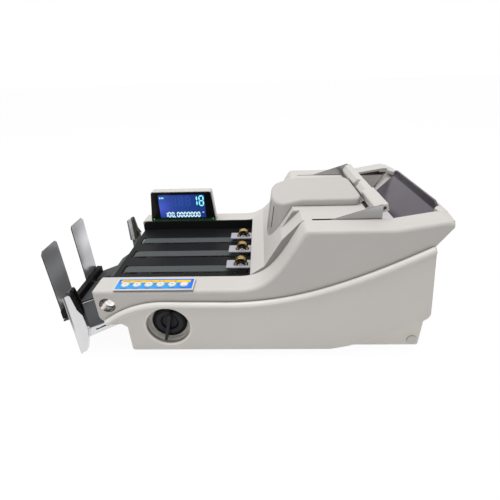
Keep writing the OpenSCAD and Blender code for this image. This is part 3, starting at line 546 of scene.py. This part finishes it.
# Hopper: a bright sheet floor over the pick-up rollers, a smoky clear plate
# at the rear and a chute of sheet steel that leads down to the tray.
dressed("hopper_floor", "body", "steel", frame_steel, 0.2 * MM, 1)
dressed("chute", "body", "steel", frame_steel, 0.2 * MM, 1)
smoke_sheet, place, shader = finish("smoke_sheet", ior=1.49)
haze = place.noise(20, detail=4)
place.feed(shader.inputs["Base Color"], haze.mix((0.11, 0.095, 0.12), (0.15, 0.135, 0.165)))
place.feed(shader.inputs["Roughness"], 0.1 + haze * 0.1)
place.feed(shader.inputs["Alpha"], 0.82 + haze * 0.1)
dressed("hopper_back", "body", "smoke", smoke_sheet, 0.4 * MM)

# Flap: two steel wings that come up through slots in the deck, a shaft that
# joins them below, and a moulded bar that is fixed across their upper ends.
wing_steel = sheet_steel("wing_steel", (0.44, 0.44, 0.44), 0.22, "X")
dressed("flap_shaft", "flap", "steel", shaft_steel, 0.3 * MM)
# The wings' edge faces are coloured dark.
dark_edge = sheet_steel("dark_edge", (0.13, 0.13, 0.135), 0.45, "X")
for node in ("flap_wing_front", "flap_wing_back"):
    wing = cad_copy(node, node + "_piece")
    soften(wing, 0.3 * MM)
    two_tone(wing, wing_steel, dark_edge, lambda face: abs(face.normal.y) < 0.5)
    fit(wing, "flap", "steel", wing_steel, node)
dressed("flap_bar", "flap", "shell", shell_plastic, 0.7 * MM, 3)

# Press arms and wheels: coated sheet arms on one steel rod, each with a
# turned brass wheel that runs in a window of the arm.
arm_coat = moulded("arm_coat", (0.42, 0.42, 0.48), 0.4, grain=1500)
wheel_low, wheel_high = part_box("press_wheel_2")
wheel_axis = (wheel_low + wheel_high) / 2
wheel_r = wheel_high.z - wheel_axis.z
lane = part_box("press_wheel_3")[0].y - wheel_low.y
hub_r = 1.7 * MM
tyre_deep = 2.5 * MM
groove_y = 1.85 * MM
fork_below = 1.5 * MM
fork_ahead = 6 * MM
brass, place, shader = finish("turned_brass")
rings = place.noise(1800, detail=2, stretch=(0.05, 1, 0.05))
tarnish = place.noise(120, detail=4)
tyre = tarnish.mix((0.4, 0.25, 0.08), (0.85, 0.62, 0.28))
# Painted shade: the two grooves of each tyre are coloured near-black.
beside = abs(abs(place.part("Y").wrap(lane)) - groove_y)
tyre = (1 - beside.step(0.5 * MM, 0.8 * MM)).mix(tyre, (0.05, 0.028, 0.01))
# Painted shade: between hub and tyre the wheel is near-black and not metallic, for the dark gaps there.
out = (place.part("X") - wheel_axis.x).hypot(place.part("Z") - wheel_axis.z)
tyre_r = wheel_r - tyre_deep
tyre = out.step(tyre_r - 0.2 * MM, tyre_r + 0.2 * MM).mix((0.012, 0.01, 0.008), tyre)
past_hub = out.step(hub_r - 0.1 * MM, hub_r + 0.1 * MM)
place.feed(shader.inputs["Base Color"], past_hub.mix((0.85, 0.85, 0.86), tyre))
place.feed(shader.inputs["Metallic"], 1 - out.within(hub_r, tyre_r, 0.1 * MM))
place.feed(shader.inputs["Roughness"], 0.2 + rings * 0.12)
place.feed(shader.inputs["Normal"], rings.bump(0.01 * MM))
fork_black, place, shader = finish("fork_black", specular_ior_level=0.2)
# Painted highlight: white spots low on the fork, either side of the wheel's axle.
low_down = 1 - (place.part("Z") - wheel_axis.z).step(0.1 * MM, 0.6 * MM)
corner = low_down * abs(place.part("X") - wheel_axis.x).step(1.3 * MM, 1.7 * MM)
place.feed(shader.inputs["Base Color"], corner.mix((0.012, 0.012, 0.013), (0.92, 0.92, 0.94)))
place.feed(shader.inputs["Roughness"], 0.3 + place.noise(500) * 0.15)
dressed("press_rod", "body", "steel", shaft_steel, 0.3 * MM)
for number in (1, 2, 3):
    arm = cad_copy(f"press_arm_{number}", f"press_arm_{number}_piece")
    soften(arm, 0.3 * MM)
    two_tone(arm, arm_coat, fork_black, lambda face: face.center.z > wheel_axis.z - fork_below
             and face.center.x < wheel_axis.x + fork_ahead)
    fit(arm, f"arm_{number}", "arm", arm_coat, f"press_arm_{number}")
    dressed(f"press_wheel_{number}", f"wheel_{number}", "tyre_metal", brass, 0.3 * MM)

# Display: a pale moulded housing that stands on the far ledge, with a glossy
# black front and a blue backlit screen set into it.
pale_plastic = moulded("pale_plastic", (0.63, 0.61, 0.58), 0.32)
dressed("display_housing", "body", "pale", pale_plastic, 1.2 * MM, 3)
front_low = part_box("display_front")[0]
front_gloss, place, shader = finish("front_gloss", specular_ior_level=0.16, emission_strength=1.0)
dust = place.noise(300, detail=3)
place.feed(shader.inputs["Base Color"], dust.mix((0.007, 0.007, 0.007), (0.01, 0.01, 0.01)))
place.feed(shader.inputs["Roughness"], 0.08 + dust * 0.08)
# Painted reflection: a faint patchy green glow in the emission along the foot of the glossy front.
foot_band = 1 - (place.part("Z") - front_low.z).step(1.2 * MM, 4.2 * MM)
patchy = place.noise(220, detail=2).step(0.35, 0.7)
foot_reflection = foot_band * (patchy * 0.6 + 0.4)
place.feed(shader.inputs["Emission Color"], foot_reflection.mix((0, 0, 0), (0.005, 0.045, 0.014)))
dressed("display_front", "body", "black", front_gloss, 0.5 * MM)
screen_low, screen_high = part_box("display_screen")
screen_size = screen_high - screen_low
screen_glow, place, shader = finish("screen_glow", base_color=(0.01, 0.015, 0.05), roughness=0.15,
                                    emission_strength=1.0)
height = (place.part("Z") - screen_low.z) / screen_size.z
width = (place.part("X") - screen_low.x) / screen_size.x
cloud = place.noise(45, detail=3)
side_glow = (1 - width.step(-0.1, 0.4)) * height.within(0.2, 0.75, 0.25)
rim = height.within(0.03, 0.97, 0.05) * width.within(0.01, 0.98, 0.03)
deep = (cloud * 0.6 + rim * 0.4).mix((0.006, 0.03, 0.18), (0.022, 0.062, 0.31))
deep = width.step(0.45, 0.95).mix(deep, (0.008, 0.036, 0.2))
place.feed(shader.inputs["Emission Color"], side_glow.mix(deep, (0.07, 0.11, 0.62)))
dressed("display_screen", "body", "screen", screen_glow, 0.2 * MM, 1)

# Figures of the screen: seven bars to a figure, each a thin slip with pointed
# ends that stands just proud of the glass. Unlit bars still show faintly.
bar_thick = 0.08 * MM
bar_share = 0.96
glass_y = screen_low.y - bar_thick / 2
bars_of = {"0": "abcdef", "1": "bc", "8": "abcdefg", "-": "g"}


def lcd_bar(middle, length, breadth, upright):
    """One bar: a flat six-sided slip with pointed ends, in front of the screen."""
    bpy.ops.object.select_all(action="DESELECT")
    turn = (math.pi / 2, math.pi / 2 if upright else 0, 0)
    bpy.ops.mesh.primitive_circle_add(vertices=6, radius=0.5, fill_type="NGON", location=middle,
                                      rotation=turn)
    bar = bpy.context.active_object
    bar.scale = (length, breadth / math.sin(math.radians(60)), 1)
    bpy.ops.object.transform_apply(location=True, rotation=True, scale=True)
    return bar


def figure(sign, left, top, wide, tall, breadth):
    """The bars of one figure. Its place and size are shares of the screen."""
    x0 = screen_low.x + left * screen_size.x
    z1 = screen_high.z - top * screen_size.z
    reach = wide * screen_size.x
    drop = tall * screen_size.z / 2
    places = {
        "a": (0.5, 0, False), "g": (0.5, 1, False), "d": (0.5, 2, False),
        "f": (0, 0.5, True), "b": (1, 0.5, True), "e": (0, 1.5, True), "c": (1, 1.5, True),
    }
    made = []
    for name in bars_of[sign]:
        along, down, upright = places[name]
        middle = (x0 + along * reach, glass_y, z1 - down * drop)
        made.append(lcd_bar(middle, (drop if upright else reach) * bar_share, breadth, upright))
    return made


def printed(name, bars, material):
    """Joins bars into one thin raised piece on the screen."""
    bpy.ops.object.select_all(action="DESELECT")
    for bar in bars:
        bar.select_set(True)
    bpy.context.view_layer.objects.active = bars[0]
    bpy.ops.object.join()
    piece = bpy.context.active_object
    piece.name = name
    bpy.context.scene.cursor.location = (0, 0, 0)
    bpy.ops.object.origin_set(type="ORIGIN_CURSOR")
    thick = piece.modifiers.new("thickness", "SOLIDIFY")
    thick.thickness = bar_thick
    thick.offset = 0
    bpy.ops.object.modifier_apply(modifier=thick.name)
    return fit(piece, "body", "screen", material)


figure_glow, place, shader = finish("figure_glow", base_color=(0.1, 0.3, 0.3), emission_strength=1.0)
flicker = place.noise(260, detail=2)
upper_row = ((place.part("Z") - screen_low.z) / screen_size.z).step(0.35, 0.45)
whiter = flicker.mix((0.55, 0.98, 0.98), (0.95, 1.0, 1.0))
bluer = flicker.mix((0.2, 0.94, 0.94), (0.4, 1.0, 1.0))
place.feed(shader.inputs["Emission Color"], upper_row.mix(whiter, bluer))
ghost_glow, place, shader = finish("ghost_glow", base_color=(0.01, 0.015, 0.05), emission_strength=1.0)
place.feed(shader.inputs["Emission Color"], place.noise(60).mix((0.012, 0.045, 0.24), (0.02, 0.055, 0.3)))
large = (0.06, 0.085, 0.41, 2.0 * MM)
small = (0.765, 0.046, 0.2, 1.55 * MM)
small_step = 0.075
lit = figure("1", 0.745, *large) + figure("8", 0.885, *large)
for number, sign in enumerate("100"):
    lit += figure(sign, 0.105 + small_step * number, *small)
for number in range(7):
    lit += figure("0", 0.375 + small_step * number, *small)
lit += figure("-", 0.925, 0.71, 0.05, 0.12, 1.1 * MM)
comma_at = (screen_low.x + 0.325 * screen_size.x, glass_y, screen_low.z + 1.2 * MM)
lit.append(lcd_bar(comma_at, 2.2 * MM, 1.5 * MM, True))
for share in (0.035, 0.07, 0.105):
    mark_at = (screen_low.x + share * screen_size.x, glass_y, screen_high.z - 4.8 * MM)
    lit.append(lcd_bar(mark_at, 3.4 * MM, 1.7 * MM, True))
printed("lcd_figures", lit, figure_glow)
ghosts = []
for left in (0.29, 0.445, 0.6):
    ghosts += figure("8", left, 0.08, 0.08, 0.38, 1.7 * MM)
printed("lcd_unlit_figures", ghosts, ghost_glow)

# Lamps: two small green lenses of clear plastic, pressed into the lower corners
# of the display's front and lit from behind.
lamp_glow, place, shader = finish("lamp_glow", base_color=(0.02, 0.3, 0.06), emission_strength=1.0)
core = place.noise(400)
place.feed(shader.inputs["Emission Color"], core.mix((0.0, 0.2, 0.03), (0.03, 0.42, 0.07)))
dressed("display_lamps", "body", "lamp", lamp_glow, 0.3 * MM)

# Keys: a cream bezel on the near ledge, coloured dark grey on its lower part, a printed blue film
# stuck on it, and six round white keys that come up through the film.
bezel_low, bezel_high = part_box("key_plate")
bezel_cream, place, shader = finish("bezel_cream")
flow = place.noise(20, detail=4)
above = (place.part("Z") - bezel_low.z) / (bezel_high.z - bezel_low.z)
cream = flow.mix((0.8, 0.74, 0.68), (0.86, 0.8, 0.74))
place.feed(shader.inputs["Base Color"], above.step(0.35, 0.6).mix((0.2, 0.19, 0.185), cream))
place.feed(shader.inputs["Roughness"], 0.34 + flow * 0.1)
place.feed(shader.inputs["Normal"], place.noise(1400).bump(0.02 * MM))
dressed("key_plate", "body", "pale", bezel_cream, 0.5 * MM, 3)
film, place, shader = finish("key_film", specular_ior_level=0.1)
film_low, film_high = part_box("key_face")
key_middle = (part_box("key_1")[0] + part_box("key_1")[1]) / 2
key_next = (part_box("key_2")[0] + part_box("key_2")[1]) / 2
last_key_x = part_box("key_6")[0].x
key_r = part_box("key_1")[1].x - key_middle.x
along = place.part("X")
down = film_high.y - place.part("Y")
depth = film_high.y - film_low.y
from_key = (along - key_middle.x).wrap(key_next.x - key_middle.x)
beside = place.part("Y") - key_middle.y
from_middle = from_key.hypot(beside)
tint = place.noise(35, detail=3) * 0.35 + (down / depth).step(0.15, 0.75) * 0.65
right_end = along.step(film_high.x - 26 * MM, film_high.x - 4 * MM)
colour = (tint * (1 - right_end * 0.7)).mix((0.015, 0.15, 0.85), (0.045, 0.44, 0.94))
strip_inset = 3.4 * MM
strip_along = along.within(film_low.x + strip_inset, film_high.x - strip_inset, 0.2 * MM)
strip = down.within(0.12 * depth, 0.37 * depth, 0.15 * MM) * strip_along
colour = strip.mix(colour, (1.0, 0.66, 0.0))
last_from = last_key_x - 2 * MM
last_to = last_key_x - 1.8 * MM
not_last = 1 - along.step(last_from, last_to)
specks = place.noise(1500, detail=1, stretch=(1, 0.5, 1)).step(0.48, 0.56)
over_key = 1 - abs(from_key).step(3.6 * MM, 3.9 * MM)
marks = specks * down.within(0.19 * depth, 0.3 * depth, 0.1 * MM) * over_key * not_last
colour = marks.mix(colour, (0.32, 0.2, 0.02))
by_keys = along.within(key_middle.x - key_r - 2 * MM, last_key_x + 2 * key_r + 2 * MM, 0.1 * MM)
ring = from_middle.within(key_r - 0.2 * MM, key_r + 0.55 * MM, 0.08 * MM) * by_keys
colour = (ring * not_last).mix(colour, (0.88, 0.66, 0.12))
colour = (ring * (1 - not_last)).mix(colour, (0.72, 0.68, 0.62))
under_key = 1 - abs(from_key).step(3.2 * MM, 3.4 * MM)
dashes = down.within(0.9 * depth, 0.955 * depth, 0.08 * MM) * under_key * by_keys
colour = (dashes * place.noise(1300, detail=1).step(0.4, 0.5)).mix(colour, (0.01, 0.05, 0.22))
place.feed(shader.inputs["Base Color"], colour)
place.feed(shader.inputs["Roughness"], 0.24 + place.noise(90, detail=4) * 0.14)
place.feed(shader.inputs["Normal"], (1 - strip * 0.5).bump(0.03 * MM, 0.6))
dressed("key_face", "body", "key_blue", film, 0.1 * MM, 1)
key_white, place, shader = finish("key_white")
from_key = (place.part("X") - key_middle.x).wrap(key_next.x - key_middle.x)
beside = place.part("Y") - key_middle.y
mark = (1 - abs(from_key).step(1.0 * MM, 1.25 * MM)) * (1 - abs(beside).step(0.7 * MM, 0.95 * MM))
broken = place.noise(900, detail=1).step(0.38, 0.5)
not_last = 1 - place.part("X").step(last_from, last_to)
rubbed = place.noise(200, detail=4)
place.feed(shader.inputs["Base Color"], (mark * broken * not_last).mix((0.82, 0.82, 0.82), (0.1, 0.2, 0.62)))
place.feed(shader.inputs["Roughness"], 0.26 + rubbed * 0.14)
place.feed(shader.inputs["Normal"], rubbed.bump(0.01 * MM))
for number in range(1, 7):
    dressed(f"key_{number}", f"key_{number}", "key_white", key_white, 0.3 * MM)

# Side covers: two light grey mouldings clipped over the base, each with a
# raised bead along its swept top edge. The near one has the knob's dish.
cover_face = 117.5 * MM
# Partly painted light: the covers are coloured lighter than the shell, as a separate moulding and to stand in
# for bounce light from the bench; the bead gets a painted highlight.
cover_plastic_lit = moulded("cover_plastic_lit", (0.785, 0.745, 0.705), 0.4, bead=cover_face)
knob_low, knob_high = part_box("knob")
knob_axis = (knob_low + knob_high) / 2
knob_r = knob_high.x - knob_axis.x
dish_r = 25.2 * MM
rim_round = 2.2 * MM
rim_near = 0.6 * MM
rim_to = -116


def from_knob(point):
    """Distance of a point from the knob's axis."""
    return math.hypot(point.x - knob_axis.x, point.z - knob_axis.z)


# Painted highlight, light and shade in the dish: the rounded rim and the floor by the knob are near-white,
# and the wall between them is dark.
dish_plastic, place, shader = finish("dish_plastic")
depth = place.part("Y") + cover_face
flow = place.noise(30, detail=4)
ring = flow.mix((0.9, 0.87, 0.8), (0.96, 0.93, 0.86))
wall_shade = depth.within(1.7 * MM, 6.0 * MM, 0.6 * MM)
place.feed(shader.inputs["Base Color"], wall_shade.mix(ring, (0.34, 0.325, 0.29)))
place.feed(shader.inputs["Roughness"], 0.42 + flow * 0.1)
place.feed(shader.inputs["Normal"], place.noise(1400).bump(0.02 * MM))
cover = cad_copy("cover_front", "cover_front_piece")
round_edges(cover, rim_round, 5, lambda m, a, b: m.y < rim_to and abs(from_knob(m * MM) - dish_r) < rim_near)
soften(cover, 0.5 * MM)


def in_dish(face):
    """True for the dish with its rounded rim, and not for the flat of the cover round it."""
    reach = rim_round + 0.1 * MM if face.normal.y > -0.99 else 0.2 * MM
    return from_knob(face.center) < dish_r + reach


two_tone(cover, cover_plastic_lit, dish_plastic, in_dish)
fit(cover, "body", "shell", cover_plastic_lit, "cover_front")
dressed("cover_back", "body", "shell", cover_plastic_lit, 0.5 * MM)

# Knob: a black moulded knob with a bar grip, which turns in the near cover's
# dish. Its rim and the ring round its hollow are painted near-black as shade, darker than its satin face.
knob_black, place, shader = finish("knob_black", specular_ior_level=0.12)
out = (place.part("X") - knob_axis.x).hypot(place.part("Z") - knob_axis.z) / knob_r
grip_tall = 8.4 * MM
on_grip = 1 - place.part("Y").step(knob_low.y + grip_tall - 0.2 * MM, knob_low.y + grip_tall + 0.2 * MM)
blotches = place.noise(220, detail=4)
satin = blotches.mix((0.026, 0.025, 0.031), (0.038, 0.036, 0.044))
# Painted shade: the rim and the ring round the hollow are near-black, but not on the grip.
black = out.math("MAXIMUM", out.step(0.75, 0.79), out.within(0.41, 0.52, 0.02)) * (1 - on_grip)
place.feed(shader.inputs["Base Color"], black.mix(satin, (0.002, 0.002, 0.003)))
place.feed(shader.inputs["Roughness"], 0.3 + blotches * 0.12)
place.feed(shader.inputs["Normal"], place.noise(1300).bump(0.02 * MM))
dressed("knob", "knob", "black", knob_black, 0.5 * MM)

# Rear: a panel moulded in the shell's plastic that closes the back of the base,
# with a black power inlet and a rocker switch in a black case set into it.
gloss_black = moulded("gloss_black", (0.008, 0.008, 0.0085), 0.12, relief=0.004 * MM, mottle=0.1,
                      specular_ior_level=0.16)
dressed("rear_panel", "body", "shell", shell_plastic, 0.6 * MM)
dressed("power_inlet", "body", "black", tray_black, 0.4 * MM)
dressed("switch_case", "body", "black", tray_black, 0.4 * MM)
dressed("power_switch", "rocker", "black", gloss_black, 0.4 * MM)

# Catch tray: a dark moulded floor between two plated legs, a plated channel beside each leg
# with painted reflection and shade, and two mirror-bright stop plates on a black bar.
floor_grey = moulded("floor_grey", (0.07, 0.073, 0.076), 0.6, grain=700, relief=0.06 * MM,
                     specular_ior_level=0.2)
dressed("catch_floor", "body", "floor", floor_grey, 0.6 * MM)
leg_low, leg_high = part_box("leg_front")
leg_plate, place, shader = finish("leg_plate", metallic=1.0)
smear = place.noise(45, detail=5, rough=0.6)
upper_leg = place.part("Z").step(30 * MM, 60 * MM)
# Painted reflection: a dark band along the fold at the leg's left edge, on its upper part.
fold_reflection = (place.part("X") - leg_low.x).within(1.2 * MM, 3.2 * MM, 0.9 * MM) * upper_leg
plain = smear.mix((0.62, 0.62, 0.63), (0.74, 0.74, 0.75))
place.feed(shader.inputs["Base Color"], fold_reflection.mix(plain, (0.1, 0.1, 0.1)))
place.feed(shader.inputs["Roughness"], 0.14 + smear * 0.14)
place.feed(shader.inputs["Normal"], smear.bump(0.03 * MM))
slot_at = (-152.5, 40.4)
slot_turn = math.radians(25.6)
slot_half = 9
slot_near = 1.2
facing_from = 62 * MM


def by_leg_slot(point):
    """True for a point in or at the edge of the narrow slot in a leg's arm, in millimetres."""
    ahead = point.x - slot_at[0]
    above = point.z - slot_at[1]
    off = above * math.cos(slot_turn) - ahead * math.sin(slot_turn)
    return abs(ahead) < slot_half and abs(off) < slot_near


def shade_on_leg(face):
    """True for the slot's walls, and for the leg's top and its side to the tray, which are near-black as
    painted shade.
    """
    if abs(face.normal.y) > 0.5:
        return False
    facing = face.center.z > facing_from and (face.normal.x > 0.3 or face.normal.z > 0.5)
    return facing or by_leg_slot(face.center / MM)


# Painted shade: the slot's walls and the leg's top and side to the tray are near-black, for the shaded inside
# of the channel.
leg_shade = moulded("leg_shade", (0.014, 0.014, 0.015), 0.35, mottle=0.1, specular_ior_level=0.15)
for node in ("leg_front", "leg_back"):
    leg = cad_copy(node, node + "_piece")
    top = leg_high.z / MM
    round_edges(leg, 3 * MM, 4, lambda m, a, b: m.z > top - 1 and max(abs(a.y), abs(b.y)) < 0.5)
    round_edges(leg, 0.8 * MM, 3, lambda m, a, b: not by_leg_slot(m))
    smooth(leg)
    two_tone(leg, leg_plate, leg_shade, shade_on_leg)
    fit(leg, "body", "bright", leg_plate, node)
lining_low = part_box("leg_linings")[0]
lining_plate, place, shader = finish("lining_plate", specular_ior_level=0.12)
# Painted reflection and shade: the lining's first few millimetres from its left end are a grey and a white
# stripe, in full on the far lining and faintly on the near one, and the rest is near-black, brown-grey on the
# far side.
behind = place.part("X") - lining_low.x
smear = place.noise(60, detail=4)
far_side = place.part("Y").step(-1 * MM, 1 * MM)
bright = (1 - (behind - far_side * (1.6 * MM)).step(6.2 * MM, 6.8 * MM)) * (far_side * 0.8 + 0.2)
place.feed(shader.inputs["Metallic"], bright * 0.3)
tone = behind.step(2.6 * MM, 3.2 * MM).mix((0.42, 0.41, 0.46), (0.92, 0.92, 0.92))
dark = far_side.mix((0.02, 0.019, 0.017), (0.11, 0.1, 0.08))
place.feed(shader.inputs["Base Color"], bright.mix(dark, tone))
place.feed(shader.inputs["Roughness"], 0.2 + smear * 0.16)
dressed("leg_linings", "body", "bright", lining_plate, 0.3 * MM)
dressed("stop_bar", "stops", "black", tray_black, 0.6 * MM)
stop_plate, place, shader = finish("stop_plate", metallic=0.6)
smear = place.noise(30, detail=4)
wave = place.noise(11, detail=0)
stop_low, stop_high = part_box("stop_front")
height = (place.part("Z") - stop_low.z) / (stop_high.z - stop_low.z)
# Painted reflection: a near-white band across the upper middle of the plate's height.
sheen = height.within(0.55, 0.8, 0.12)
steel = smear.mix((0.55, 0.55, 0.56), (0.68, 0.68, 0.7))
place.feed(shader.inputs["Base Color"], sheen.mix(steel, (0.92, 0.92, 0.95)))
place.feed(shader.inputs["Roughness"], 0.2 + smear * 0.1)
place.feed(shader.inputs["Normal"], wave.bump(9 * MM))
stop_edge = sheet_steel("stop_edge", (0.07, 0.065, 0.05), 0.4, "Z")
for node in ("stop_front", "stop_back"):
    stop = cad_copy(node, node + "_piece")
    soften(stop, 0.3 * MM)
    flat = max(stop.data.polygons, key=lambda face: face.area).normal.copy()
    two_tone(stop, stop_plate, stop_edge, lambda face: abs(face.normal.dot(flat)) < 0.5)
    fit(stop, "stops", "bright", stop_plate, node)
